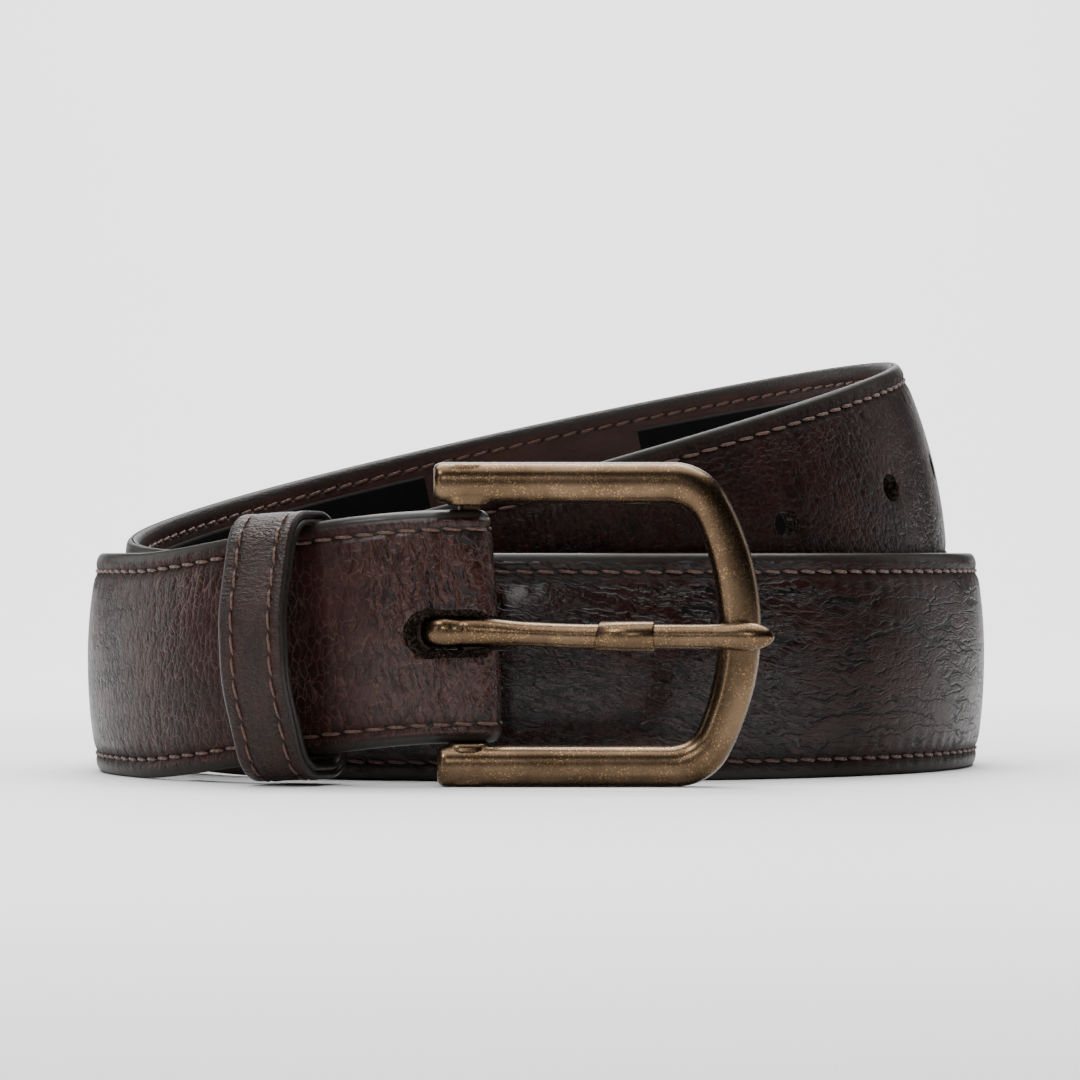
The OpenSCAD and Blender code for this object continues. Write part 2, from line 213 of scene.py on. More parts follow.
class Graph:
    """Short ways to add shader nodes. A number or a colour goes straight on the socket."""

    def __init__(self, tree):
        self.tree = tree
        self.shader = next(n for n in tree.nodes if n.type == "BSDF_PRINCIPLED")

    def put(self, socket, value):
        if isinstance(value, bpy.types.NodeSocket):
            self.tree.links.new(value, socket)
        elif isinstance(value, (tuple, list)) and len(socket.default_value) == 4 and len(value) == 3:
            socket.default_value = (*value, 1)
        else:
            socket.default_value = value

    def node(self, kind, inputs=(), **settings):
        n = self.tree.nodes.new(kind)
        for key, value in settings.items():
            setattr(n, key, value)
        for key, value in dict(inputs).items():
            self.put(n.inputs[key], value)
        return n

    def math(self, op, a, b=0.0, c=0.0):
        return self.node("ShaderNodeMath", {0: a, 1: b, 2: c}, operation=op).outputs[0]

    def add(self, a, b):
        return self.math("ADD", a, b)

    def sub(self, a, b):
        return self.math("SUBTRACT", a, b)

    def mul(self, a, b):
        return self.math("MULTIPLY", a, b)

    def fma(self, a, b, c):
        """a times b, and c added."""
        return self.math("MULTIPLY_ADD", a, b, c)

    def ramp(self, value, low, high, to_low=0.0, to_high=1.0):
        return self.node(
            "ShaderNodeMapRange",
            {"Value": value, "From Min": low, "From Max": high, "To Min": to_low, "To Max": to_high},
            interpolation_type="SMOOTHSTEP",
        ).outputs["Result"]

    def mix(self, factor, a, b):
        n = self.node("ShaderNodeMix", data_type="RGBA")
        self.put(n.inputs["Factor"], factor)
        self.put(n.inputs[6], a)
        self.put(n.inputs[7], b)
        return n.outputs[2]

    def vector(self, x, y, z=0.0):
        return self.node("ShaderNodeCombineXYZ", {"X": x, "Y": y, "Z": z}).outputs[0]

    def grid(self, x, y, wide, high, seed=0.0):
        """Coordinates in which a cell is wide by high, in mm."""
        return self.vector(self.math("DIVIDE", x, wide), self.math("DIVIDE", y, high), seed)

    def noise(self, vector, scale=1.0, detail=3.0, rough=0.55, warp=0.0):
        return self.node(
            "ShaderNodeTexNoise",
            {"Vector": vector, "Scale": scale, "Detail": detail, "Roughness": rough, "Distortion": warp},
        ).outputs["Fac"]

    def warped(self, x, y, size, amount, seed):
        """x and y, each moved by up to amount by a noise of the given size."""
        v = self.grid(x, y, size, size, seed)
        n = self.node("ShaderNodeTexNoise", {"Vector": v, "Scale": 1.0, "Detail": 2.0})
        move = self.node("ShaderNodeSeparateColor", {0: n.outputs["Color"]}).outputs
        return [self.fma(move[i], 2 * amount, self.sub(a, amount)) for i, a in enumerate((x, y))]

    def cells(self, vector, scale=1.0, feature="DISTANCE_TO_EDGE"):
        n = self.node("ShaderNodeTexVoronoi", {"Vector": vector, "Scale": scale}, feature=feature)
        return n.outputs["Distance"]

    def bump(self, height):
        """height is in mm."""
        return self.node("ShaderNodeBump", {"Height": height, "Distance": 0.001, "Strength": 1.0}).outputs[0]

    def set(self, **inputs):
        for key, value in inputs.items():
            self.put(self.shader.inputs[key.replace("_", " ")], value)


def strap_axes(g):
    """Distance along the strap and up from its middle, in mm, from the Strap coordinates."""
    uv = g.node("ShaderNodeUVMap", uv_map="Strap").outputs[0]
    parts = g.node("ShaderNodeSeparateXYZ", {0: uv}).outputs
    return g.mul(parts[0], 100.0), g.mul(parts[1], 100.0)


def creases(g, s, w, long, fine, slope, soft, seed, detail=2.0):
    """Thin, branching lines along the strap: ridges of a noise drawn out along it."""
    a = g.fma(w, slope, s)
    b = g.fma(s, -slope, w)
    v = g.grid(a, b, long, fine, seed)
    n = g.noise(v, 1.0, detail, 0.5, 0.35)
    away = g.math("ABSOLUTE", g.sub(n, 0.5))
    return g.ramp(away, 0.0, soft, 1.0, 0.0)


def between(g, s, start, end, soft):
    """1 from start to end along the strap, and 0 outside."""
    rise = g.ramp(s, start - soft, start + soft)
    return g.mul(rise, g.ramp(s, end - soft, end + soft, 1.0, 0.0))


def needle_holes(g, s, aw, reach):
    """Distance across the strap from the seam, and 1 in a needle hole."""
    step = g.math("PINGPONG", s, STITCH / 2)
    off = g.sub(aw, SEAM_W)
    far = g.math("SQRT", g.add(g.math("POWER", step, 2.0), g.math("POWER", off, 2.0)))
    return off, g.ramp(far, 0.22, reach, 1.0, 0.0)


# stretches of the outer leather that are worn in different ways: from, to, and how softly they begin and end
FRONT = (-70.0, 118.0, 10.0)  # the folded end and the stretch that the keeper slides on
FOLD = (-9.0, 16.0, 5.0)
KEEPER_STRETCH = (16.0, 60.0, 8.0)
FIRST_BEND = (62.0, 130.0, 10.0)
RIGHT_END = (286.0, 312.0, 8.0)  # where the strap goes round the right end of the coil
CREASED = (284.0, 404.0, 14.0)
BEHIND_BUCKLE = (398.0, 480.0, 10.0)
TAIL = (735.0, 765.0)  # where the wear of the tip begins, and where it is full


def grain_leather():
    m, g = material("grain_leather")
    s, w = strap_axes(g)
    aw = g.math("ABSOLUTE", w)
    flat = g.vector(s, w)
    sw, ww = g.warped(s, w, 3.2, 1.1, 1.0)
    sf, wf = g.warped(sw, ww, 1.0, 0.34, 5.0)

    stretches = (FRONT, FOLD, KEEPER_STRETCH, FIRST_BEND, RIGHT_END, CREASED, BEHIND_BUCKLE)
    front, fold, near_keeper, left, bend, right, window = (between(g, s, *part) for part in stretches)
    tail = g.ramp(s, *TAIL)
    patch = g.noise(g.grid(s, w, 16.0, 9.0, 2.0), 1.0, 2.0)
    not_front = g.sub(1.0, front)

    def domes(x, y, wide, high, seed):
        d = g.cells(g.grid(x, y, wide, high, seed), 1.0, "F1")
        return g.sub(1.0, g.mul(g.math("POWER", d, 2.0), 1.9))

    def cracks(x, y, wide, high, seed, soft):
        return g.ramp(g.cells(g.grid(x, y, wide, high, seed), 1.0), 0.0, soft, 1.0, 0.0)

    tall = domes(sf, wf, 1.0, 2.5, 0.0)
    pebble = domes(sf, wf, 1.05, 0.95, 4.0)
    fine = domes(sf, wf, 0.50, 0.46, 9.0)
    tall_cracks = g.mul(cracks(sf, wf, 1.0, 2.5, 0.0, 0.055), front)
    pebble_cracks = g.mul(cracks(sf, wf, 1.05, 0.95, 4.0, 0.12), not_front)
    cell_lines = g.add(tall_cracks, pebble_cracks)
    cell_lines = g.mul(cell_lines, g.ramp(patch, 0.3, 0.65, 0.25, 1.0))

    radial = creases(g, sw, ww, 15.0, 2.5, 0.02, 0.045, 3.0, 1.2)
    radial_fine = creases(g, sf, wf, 6.0, 1.3, -0.05, 0.060, 31.0, 1.5)
    across = creases(g, sw, ww, 14.0, 2.4, 0.22, 0.040, 11.0, 1.5)
    across_fine = creases(g, sf, wf, 7.0, 1.3, 0.34, 0.060, 13.0, 1.5)
    small = creases(g, sf, wf, 3.0, 0.95, 0.05, 0.080, 17.0)
    upright = creases(g, wf, sf, 6.0, 1.2, 0.08, 0.070, 23.0)
    leaning = creases(g, sf, wf, 5.0, 1.5, 1.0, 0.070, 41.0)
    some = g.ramp(g.noise(g.grid(s, w, 12.0, 4.0, 8.0), 1.0, 2.0), 0.36, 0.6)  # creases come in patches
    parts = (
        (radial, g.fma(right, 1.0, 0.05)), (radial_fine, g.mul(right, 0.40)),
        (across, g.mul(window, 1.0)), (across_fine, g.fma(window, 0.7, 0.08)),
        (small, g.fma(near_keeper, 0.30, 0.10)),
        (upright, g.fma(fold, 0.7, g.fma(front, 0.12, g.mul(tail, 0.6)))),
        (leaning, g.mul(left, 0.8)),
    )
    lines = 0.0
    for line, amount in parts:
        lines = g.add(lines, g.mul(line, amount))
    lines = g.math("MINIMUM", g.mul(lines, g.fma(some, 0.9, 0.25)), 1.0)

    inside = g.ramp(aw, 15.8, 16.4, 1.0, 0.0)  # 1 on the grain, 0 on the painted edge
    swell = g.noise(g.grid(s, w, 3.6, 2.8, 6.0), 1.0, 2.0)
    ridges = g.noise(g.grid(sf, wf, 1.0, 8.0, 12.0), 1.0, 2.0)
    body_grain = g.add(g.mul(tall, front), g.mul(pebble, not_front))
    smooth_parts = g.fma(right, -0.72, g.fma(window, -0.8, 1.0))
    amount = g.math("MAXIMUM", smooth_parts, bend)
    height = g.mul(body_grain, g.mul(amount, g.fma(patch, 0.08, 0.03)))
    height = g.add(height, g.mul(fine, g.fma(amount, 0.012, 0.006)))
    height = g.add(height, g.mul(swell, g.fma(right, -0.05, 0.10)))
    height = g.add(height, g.mul(ridges, g.mul(fold, 0.60)))
    height = g.sub(height, g.mul(lines, g.fma(window, 0.16, 0.13)))
    height = g.sub(height, g.mul(cell_lines, g.mul(amount, 0.05)))
    height = g.mul(height, g.fma(inside, 0.92, 0.08))

    off, pit = needle_holes(g, s, aw, 0.50)
    height = g.sub(height, g.mul(pit, 0.2))
    shade = g.ramp(g.math("ABSOLUTE", off), 0.1, 0.9, 0.5, 0.0)

    tone = g.noise(g.grid(s, w, 9.0, 14.0, 1.0), 1.0, 4.0, 0.6)
    body = g.mix(g.ramp(tone, 0.32, 0.7), (0.0125, 0.0042, 0.0034), (0.0260, 0.0082, 0.0064))
    body = g.mix(g.mul(fold, 0.6), body, (0.0400, 0.0110, 0.0070))
    # reddish lines round the grain cells: partly the leather's own lighter pull-up colour in its cracks,
    # partly a painted highlight on the crack edges
    pull_up_and_highlight = g.mul(cell_lines, g.mul(g.sub(front, left), 0.75))
    body = g.mix(pull_up_and_highlight, body, (0.1050, 0.0440, 0.0330))
    # painted shade: the cracks and creases are darkened in the colour
    body = g.mix(g.mul(pebble_cracks, 0.55), body, (0.0045, 0.0024, 0.0020))
    body = g.mix(g.mul(lines, g.fma(near_keeper, -0.5, 1.0)), body, (0.0025, 0.0020, 0.0017))
    edge = g.mix(g.noise(flat, 1.6, 4.0, 0.7), (0.0075, 0.0062, 0.0050), (0.0220, 0.0178, 0.0142))
    colour = g.mix(inside, edge, body)
    # painted shade in the needle holes and along the stitch channel
    dark = g.math("MAXIMUM", pit, g.mul(shade, inside))
    colour = g.mix(dark, colour, (0.0060, 0.0030, 0.0026))
    gloss = g.fma(g.noise(flat, 1.3, 4.0), 0.18, 0.24)
    gloss = g.add(gloss, g.mul(lines, 0.08))
    gloss = g.add(gloss, g.ramp(g.math("ABSOLUTE", off), 0.4, 2.0, 0.25, 0.0))
    shiny = g.math("MAXIMUM", window, fold)
    gloss = g.fma(shiny, -0.06, gloss)
    painted = g.mul(g.sub(1.0, inside), 0.40)
    g.set(Base_Color=colour, Roughness=g.add(g.mul(gloss, inside), painted),
          Normal=g.bump(height), Coat_Weight=g.fma(shiny, 0.10, 0.02), Coat_Roughness=0.14)
    g.put(g.shader.inputs["Specular IOR Level"], g.fma(shiny, 0.16, 0.12))
    return m


def lining_leather():
    m, g = material("lining_leather")
    s, w = strap_axes(g)
    flat = g.vector(s, w)
    aw = g.math("ABSOLUTE", w)
    pores = g.cells(flat, 1.5)
    grain = g.noise(flat, 1.2, 4.0)
    edge = g.ramp(aw, 15.6, 16.4)
    pit = needle_holes(g, s, aw, 0.55)[1]
    tone = g.noise(g.grid(s, w, 18.0, 7.0), 1.0, 4.0)
    body = g.mix(g.ramp(tone, 0.3, 0.7), (0.022, 0.0085, 0.0066), (0.044, 0.0170, 0.0125))
    colour = g.mix(edge, body, (0.018, 0.0140, 0.0120))
    # painted shade in the needle holes
    colour = g.mix(pit, colour, (0.012, 0.0060, 0.0050))
    height = g.add(g.mul(g.ramp(pores, 0.0, 0.15), 0.03), g.mul(grain, 0.05))
    height = g.sub(height, g.mul(pit, 0.2))
    g.set(Base_Color=colour, Roughness=g.fma(grain, 0.18, 0.38), Normal=g.bump(height))
    g.put(g.shader.inputs["Specular IOR Level"], 0.25)
    return m


def cut_leather():
    """The raw fibres inside a punched hole and the prong's slot."""
    m, g = material("cut_leather")
    where = g.node("ShaderNodeTexCoord").outputs["Object"]
    fibre = g.noise(where, 2500.0, 5.0, 0.7)
    # the near-black fibre colour is partly painted shade inside the holes and the slot; the lighter fibres are
    # the raw edge's own colour
    colour = g.mix(g.ramp(fibre, 0.45, 0.68), (0.0030, 0.0022, 0.0018), (0.080, 0.056, 0.040))
    g.set(Base_Color=colour, Roughness=0.9, Normal=g.bump(g.mul(fibre, 0.6)))
    g.put(g.shader.inputs["Specular IOR Level"], 0.06)
    return m


def keeper_leather():
    m, g = material("keeper_leather")
    s, w = strap_axes(g)
    wrinkle = g.noise(g.grid(s, w, 1.6, 0.55), 1.0, 4.0, 0.6, 0.5)
    cell = g.cells(g.grid(s, w, 0.9, 0.55, 3.0), 1.0)
    edge = g.ramp(g.math("ABSOLUTE", s), 4.45, 4.85)
    inside = g.sub(1.0, edge)
    tone = g.noise(g.grid(s, w, 3.0, 9.0), 1.0, 3.0)
    body = g.mix(g.ramp(tone, 0.35, 0.7), (0.0150, 0.0052, 0.0038), (0.0310, 0.0105, 0.0075))
    # painted shade in the cracks between the grain cells
    body = g.mix(g.ramp(cell, 0.0, 0.12, 0.55, 0.0), body, (0.0075, 0.0040, 0.0034))
    colour = g.mix(edge, body, (0.017, 0.0145, 0.0125))
    bead = g.cells(g.grid(s, w, 0.55, 0.45, 8.0), 1.0, "F1")
    height = g.add(g.mul(wrinkle, 0.50), g.mul(g.ramp(cell, 0.0, 0.14), 0.06))
    height = g.sub(height, g.mul(g.math("POWER", bead, 2.0), 0.16))
    height = g.mul(height, g.fma(inside, 0.95, 0.05))
    g.set(Base_Color=colour, Roughness=g.fma(wrinkle, 0.20, 0.24), Normal=g.bump(height),
          Coat_Weight=0.08, Coat_Roughness=0.16)
    g.put(g.shader.inputs["Specular IOR Level"], 0.22)
    return m


def thread_look():
    m, g = material("thread")
    s, w = strap_axes(g)
    ply = g.node("ShaderNodeTexWave", {"Vector": g.vector(s, w), "Scale": 0.55, "Distortion": 1.2},
                 wave_type="BANDS", bands_direction="DIAGONAL").outputs["Fac"]
    fuzz = g.noise(g.vector(s, w), 3.0, 3.0)
    colour = g.mix(g.ramp(fuzz, 0.3, 0.7), (0.045, 0.0165, 0.0088), (0.115, 0.0460, 0.0235))
    g.set(Base_Color=colour, Roughness=0.55, Normal=g.bump(g.mul(ply, 0.09)), Sheen_Weight=0.15)
    return m


def panel_look():
    m, g = material("black_panel")
    s, w = strap_axes(g)
    weave = g.noise(g.vector(s, w), 2.2, 4.0)
    edge = g.ramp(g.math("ABSOLUTE", w), 12.5, 12.9)
    colour = g.mix(g.noise(g.vector(s, w), 0.12, 3.0), (0.0022, 0.0022, 0.0025), (0.0055, 0.0054, 0.0056))
    colour = g.mix(edge, colour, (0.040, 0.0360, 0.0340))
    g.set(Base_Color=colour, Roughness=0.7, Normal=g.bump(g.mul(weave, 0.04)))
    g.put(g.shader.inputs["Specular IOR Level"], 0.06)
    return m


def antique_brass():
    m, g = material("antique_brass")
    where = g.node("ShaderNodeTexCoord").outputs["Object"]
    cloud = g.noise(where, 130.0, 4.0, 0.6)
    fine = g.noise(where, 2600.0, 3.0, 0.7)
    rare = g.noise(where, 330.0, 3.0)
    gold = g.mul(g.ramp(g.cells(where, 2600.0, "F1"), 0.14, 0.38, 1.0, 0.0), g.ramp(rare, 0.40, 0.60))
    dark = g.mul(g.ramp(g.cells(where, 1150.0, "F1"), 0.10, 0.30, 1.0, 0.0), g.ramp(rare, 0.56, 0.40))
    body = g.mix(g.ramp(cloud, 0.35, 0.68), (0.074, 0.047, 0.027), (0.130, 0.085, 0.051))
    body = g.mix(g.mul(fine, 0.30), body, (0.165, 0.108, 0.065))
    body = g.mix(g.mul(dark, 0.2), body, (0.045, 0.029, 0.018))
    colour = g.mix(g.mul(gold, 0.50), body, (0.560, 0.340, 0.140))
    height = g.add(g.mul(fine, 0.0006), g.mul(cloud, 0.009))
    g.set(Base_Color=colour, Metallic=1.0, Roughness=g.fma(fine, 0.12, 0.22),
          Normal=g.bump(height))
    return m


def steel_look():
    m, g = material("drawn_steel")
    where = g.node("ShaderNodeTexCoord").outputs["Object"]
    lines = g.noise(where, 1500.0, 3.0)
    g.set(Base_Color=(0.045, 0.032, 0.020), Metallic=1.0, Roughness=g.fma(lines, 0.2, 0.28),
          Normal=g.bump(g.mul(lines, 0.02)))
    return m


def core_look():
    m, g = material("pressed_fibre")
    where = g.node("ShaderNodeTexCoord").outputs["Object"]
    fibre = g.noise(where, 1200.0, 4.0)
    g.set(Base_Color=g.mix(fibre, (0.030, 0.019, 0.013), (0.075, 0.050, 0.034)), Roughness=0.9,
          Normal=g.bump(g.mul(fibre, 0.1)))
    return m


GRAIN, LINING, CUT = grain_leather(), lining_leather(), cut_leather()
KEEPER, THREAD, PANEL = keeper_leather(), thread_look(), panel_look()
BRASS, STEEL, CORE = antique_brass(), steel_look(), core_look()


# ---------------------------------------------------------------- mesh helpers
def mesh_object(name, points, faces, mats, coords=None):
    """A mesh from points in mm. coords are the Strap coordinates of each point, in mm."""
    me = bpy.data.meshes.new(name)
    points = np.asarray(points, float).reshape(-1, 3) / 1000
    me.from_pydata(points.tolist(), [], [tuple(f) for f in faces])
    if coords is not None:
        layer = me.uv_layers.new(name="Strap")
        of_loop = np.zeros(len(me.loops), np.int32)
        me.loops.foreach_get("vertex_index", of_loop)
        uv = np.asarray(coords, float).reshape(-1, 2)[of_loop] / 100
        layer.data.foreach_set("uv", uv.ravel().astype(np.float32))
    for m in mats:
        me.materials.append(m)
    me.polygons.foreach_set("use_smooth", [True] * len(me.polygons))
    me.update()
    ob = bpy.data.objects.new(name, me)
    bpy.context.scene.collection.objects.link(ob)
    return ob


def outward(ob, crease=50):
    """Turns every face outwards and keeps edges sharper than crease."""
    bm = bmesh.new()
    bm.from_mesh(ob.data)
    bmesh.ops.recalc_face_normals(bm, faces=bm.faces)
    bm.to_mesh(ob.data)
    bm.free()
    ob.data.set_sharp_from_angle(angle=math.radians(crease))
    return ob


def tube_faces(rings, around, closed_ends=True, first=0):
    """Quads of a closed section swept through rings, and its two end faces."""
    i, j = np.meshgrid(np.arange(rings - 1), np.arange(around), indexing="ij")
    a, b = i * around + j, i * around + (j + 1) % around
    quads = (np.stack([a, b, b + around, a + around], -1).reshape(-1, 4) + first).tolist()
    if closed_ends:
        quads.append([first + k for k in range(around)][::-1])
        quads.append([first + (rings - 1) * around + k for k in range(around)])
    return quads


def loop_faces(rings, around):
    """Quads of a closed section swept round a closed loop."""
    last = (rings - 1) * around
    closing = [[last + k, last + (k + 1) % around, (k + 1) % around, k] for k in range(around)]
    return tube_faces(rings, around, False) + closing


def joined(parts):
    """The points, faces and coordinates of several meshes as one."""
    points, faces, coords, total = [], [], [], 0
    for part_points, part_faces, part_coords in parts:
        faces += [[v + total for v in corners] for corners in part_faces]
        total += len(part_points)
        points.append(part_points)
        coords.append(part_coords)
    return np.concatenate(points), faces, np.concatenate(coords)


def combine(ob, others, operation):
    """Cuts the others out of ob or joins them to it, with their material on their faces."""
    for other in others:
        mod = ob.modifiers.new("combine", "BOOLEAN")
        mod.object, mod.operation, mod.solver = other, operation, "EXACT"
        mod.material_mode = "TRANSFER"
    dg = bpy.context.evaluated_depsgraph_get()
    me = bpy.data.meshes.new_from_object(ob.evaluated_get(dg))
    ob.modifiers.clear()
    ob.data = me
    for other in others:
        bpy.data.objects.remove(other)


def hole_cutter(levels, sides=40):
    """A cutter through every punched hole, a little ragged. A level is a height and how much wider it is."""
    points, faces = [], []
    for s in HOLES:
        first = len(points)
        p, t, n, u, _ = station(np.array([s]))
        for h, more in levels:
            for k in range(sides):
                a = 2 * math.pi * k / sides
                r = (HOLE_R + more) * (1 + 0.04 * noise.noise((2 * math.cos(a), 2 * math.sin(a), s + h)))
                points.append(p[0] + n[0] * h + (t[0] * math.cos(a) + u[0] * math.sin(a)) * r)
        faces += tube_faces(len(levels), sides, True, first)
    return outward(mesh_object("punch", points, faces, [CUT]))


def slot_cutter():
    """The slot through both layers of the fold, with a round end and a worn, slanted edge in front."""
    end, reach, half_slot = bar[0] - 5.3, 22.0, 2.6
    levels = ((-4.0, 1.9), (-1.85, 1.25), (-1.2, 0.75), (-0.4, 0.0), (10.0, 0.0))  # y, and how much wider
    points = []
    for y, more in levels:
        half = half_slot + more
        edge = [(end + reach, PRONG_Z - half)]
        edge += [(end + (half + 0.7 * more) * math.cos(a), PRONG_Z + half * math.sin(a))
                 for a in np.linspace(-math.pi / 2, -3 * math.pi / 2, 25)]
        edge += [(end + reach, PRONG_Z + half)]
        for x, h in edge:
            fray = [0.30 * noise.noise((x * 1.1, h * 1.1, 2 * y + seed)) for seed in (1.0, 5.0)]
            points.append((x + fray[0], bar[1] - FOLD_R + y, h + fray[1]))
    return outward(mesh_object("slot", points, tube_faces(len(levels), len(edge)), [CUT]))


# ---------------------------------------------------------------- the strap
def outer_leather():
    """The outer leather, from the short leg behind the fold to the tip."""
    side = 15.0 + 2.5 * np.sin(np.linspace(0, math.pi / 2, 8))  # round the painted edge
    seam = np.arange(15.0, 12.2, -0.28)[1:]  # close together across the stitched channel
    middle = np.linspace(12.0, 0, 14)
    half = np.concatenate([side[::-1], seam, middle])
    top = np.concatenate([half, -half[-2::-1]])
    under = np.array([-17.15, -9.0, 9.0, 17.15])
    s = S[:, None]
    wide = width_at(s)
    w_top = top[None, :] * wide
    n_top = face(s, top[None, :]) + pulled(s, top[None, :])
    n_top = n_top + 0.10 * rough(s / 17, top[None, :] / 11, 0.5) * (np.abs(top) < 14)
    crest = 0.30 * np.exp(-(((s - 6.2) / 1.7) ** 2)) - 0.15 * np.exp(-(((s - 3.6) / 1.3) ** 2))
    n_top = n_top + crest * (1 - smooth((np.abs(top) - 13.5) / 3))
    for h in HOLES:
        r = np.hypot(s - h, top[None, :])
        n_top = n_top - 0.22 * np.exp(-(((r - HOLE_R) / 0.7) ** 2))
    w_all = np.concatenate([w_top, under[None, :] * wide], 1)
    n_all = np.concatenate([n_top, np.full((len(S), 4), -0.58)], 1)
    points = place(np.broadcast_to(s, w_all.shape), w_all, n_all)
    flat = np.concatenate([top, under])
    coords = np.stack(np.broadcast_arrays(s, flat[None, :]), -1)
    ob = mesh_object("belt_outer_leather", points, tube_faces(len(S), len(flat)), [GRAIN], coords)
    outward(ob, 180)
    holes = hole_cutter([(-1.2, 0.0), (1.5, 0.0), (2.1, 0.22), (3.2, 0.7)])
    combine(ob, [holes, slot_cutter()], "DIFFERENCE")
    ob.data.set_sharp_from_angle(angle=math.radians(60))
    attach(ob, "strap")
    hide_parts("outer_leather")


def lining():
    """The lining behind the whole strap, from just past the fold to the tip."""
    s = np.arange(6.0, STRAP_LEN - 0.3, 1.4)[:, None]
    half = np.array([17.42, 17.3, 16.95, 16.4, 15.7, 15.1, 14.6, 14.1, 13.4, 11.0, 8.0, 4.0, 0.0])
    base = LINING_FACE + np.array([0.94, 0.6, 0.28, 0.1, 0.03, 0.02, 0.02, 0.01, 0, 0, 0, 0, 0])
    w = np.concatenate([half, -half[-2::-1]])
    n = np.concatenate([base, base[-2::-1]])[None, :] - pulled(s, w[None, :], 0.55)
    w_all = np.concatenate([w, [-17.0, 17.0]])
    n_all = np.concatenate([n, np.full((len(s), 2), -0.63)], 1)
    points = place(np.broadcast_to(s, n_all.shape), w_all[None, :] * width_at(s), n_all)
    coords = np.stack(np.broadcast_arrays(s, w_all[None, :]), -1)
    ob = outward(mesh_object("belt_lining", points, tube_faces(len(s), len(w_all)), [LINING], coords), 180)
    combine(ob, [hole_cutter([(-3.2, 0.0), (0.2, 0.0)])], "DIFFERENCE")
    ob.data.set_sharp_from_angle(angle=math.radians(60))
    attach(ob, "strap")
    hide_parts("strap_lining")


def capsule_row(starts, length, where, wide=0.25, high=0.21, around=6, rings=7):
    """One stitch for each start: a thread that comes up from one hole and goes down into the next."""
    points, faces, coords = [], [], []
    t = np.linspace(0, 1, rings)
    for s0 in starts:
        first = len(points)
        swell = np.sqrt(np.clip(1 - (2 * t - 1) ** 6, 0.05, 1))
        rise = 0.24 * (1 - (2 * t - 1) ** 4) - 0.12
        jitter = 0.05 * noise.noise((s0, 2.0, 5.0))
        for i in range(rings):
            for j in range(around):
                a = 2 * math.pi * j / around
                cross = wide * swell[i] * math.cos(a) + 0.13 * (2 * t[i] - 1) + jitter
                out = high * swell[i] * math.sin(a) + rise[i]
                points.append((s0 + length * t[i], cross, out))
                coords.append((s0 + length * t[i], 40 + cross))
        faces += tube_faces(rings, around, True, first)
    points = np.array(points)
    return where(points), faces, np.array(coords)


def stitches(name, node, side, first_s, last_s):
    """Both seams on one face of the strap: side is 1 on the outer leather, and -1 on the lining."""
    starts = np.arange(math.ceil(first_s / STITCH), math.floor(last_s / STITCH)) * STITCH + 0.21
    seams = []
    for edge in (-1, 1):
        def where(q):
            w = edge * SEAM_W + q[:, 1]
            if side > 0:
                n = face(q[:, 0], np.full(len(q), SEAM_W)) - 0.17 + q[:, 2]
            else:
                n = LINING_FACE + 0.1 - q[:, 2]
            return place(q[:, 0], w, n)
        seams.append(capsule_row(starts, STITCH - 0.42, where))
    points, faces, coords = joined(seams)
    ob = outward(mesh_object(name, points, faces, [THREAD], coords), 180)
    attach(ob, "strap")
    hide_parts(node)


def panel(name, node, start, end):
    """A thin black panel on the lining, from start to end along the strap."""
    s = np.linspace(start, end, round((end - start) / 1.2))[:, None]
    half = np.array([13.1, 13.02, 12.7, 9.0, 3.0])
    w = np.concatenate([half, -half[::-1]])
    low = LINING_FACE - np.array([0.02, 0.18, 0.24, 0.24, 0.24])
    n = np.concatenate([low, low[::-1]])
    w_all, n_all = np.concatenate([w, [-13.0, 13.0]]), np.concatenate([n, [LINING_FACE + 0.02] * 2])
    points = place(np.broadcast_to(s, (len(s), len(w_all))), w_all[None, :], n_all[None, :])
    coords = np.stack(np.broadcast_arrays(s, w_all[None, :]), -1)
    ob = outward(mesh_object(name, points, tube_faces(len(s), len(w_all)), [PANEL], coords), 40)
    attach(ob, "strap")
    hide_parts(node)


# ---------------------------------------------------------------- the buckle
FRAME_H, FRAME_R, RAIL_END = 48.6, 43.8, -5.0  # height, and the right and left ends from the bar
FRAME_Y, FRAME_T = -7.0, 4.6  # the front's y from the bar, and the thickness
SIDE_W, RAIL_W = 6.4, 6.2


def d_outline(left, right, half_h, r, corner, count=14):
    """Points round the frame, from the lower rail's end to the upper rail's end, in X and Z from the bar."""
    hub, rise = right - r, half_h - corner
    along = math.sqrt((r - corner) ** 2 - rise**2)
    tilt = math.atan2(rise, along)
    arc = lambda cx, cz, rad, a, b, n: [(cx + rad * math.cos(t), cz + rad * math.sin(t))
                                        for t in np.linspace(a, b, n)]
    x = hub + along
    near_end = [0, 0.003, 0.008, 0.015, 0.024, 0.036]  # close together where the rail's end is rounded
    lower = [(left + (x - left) * t, -half_h) for t in near_end + list(np.linspace(0.055, 1, 20))[:-1]]
    upper = [(p, -q) for p, q in reversed(lower)]
    return np.array(lower + arc(x, -rise, corner, -math.pi / 2, -tilt, count)
                    + arc(hub, 0, r, -tilt, tilt, 26)[1:-1]
                    + arc(x, rise, corner, tilt, math.pi / 2, count) + upper)


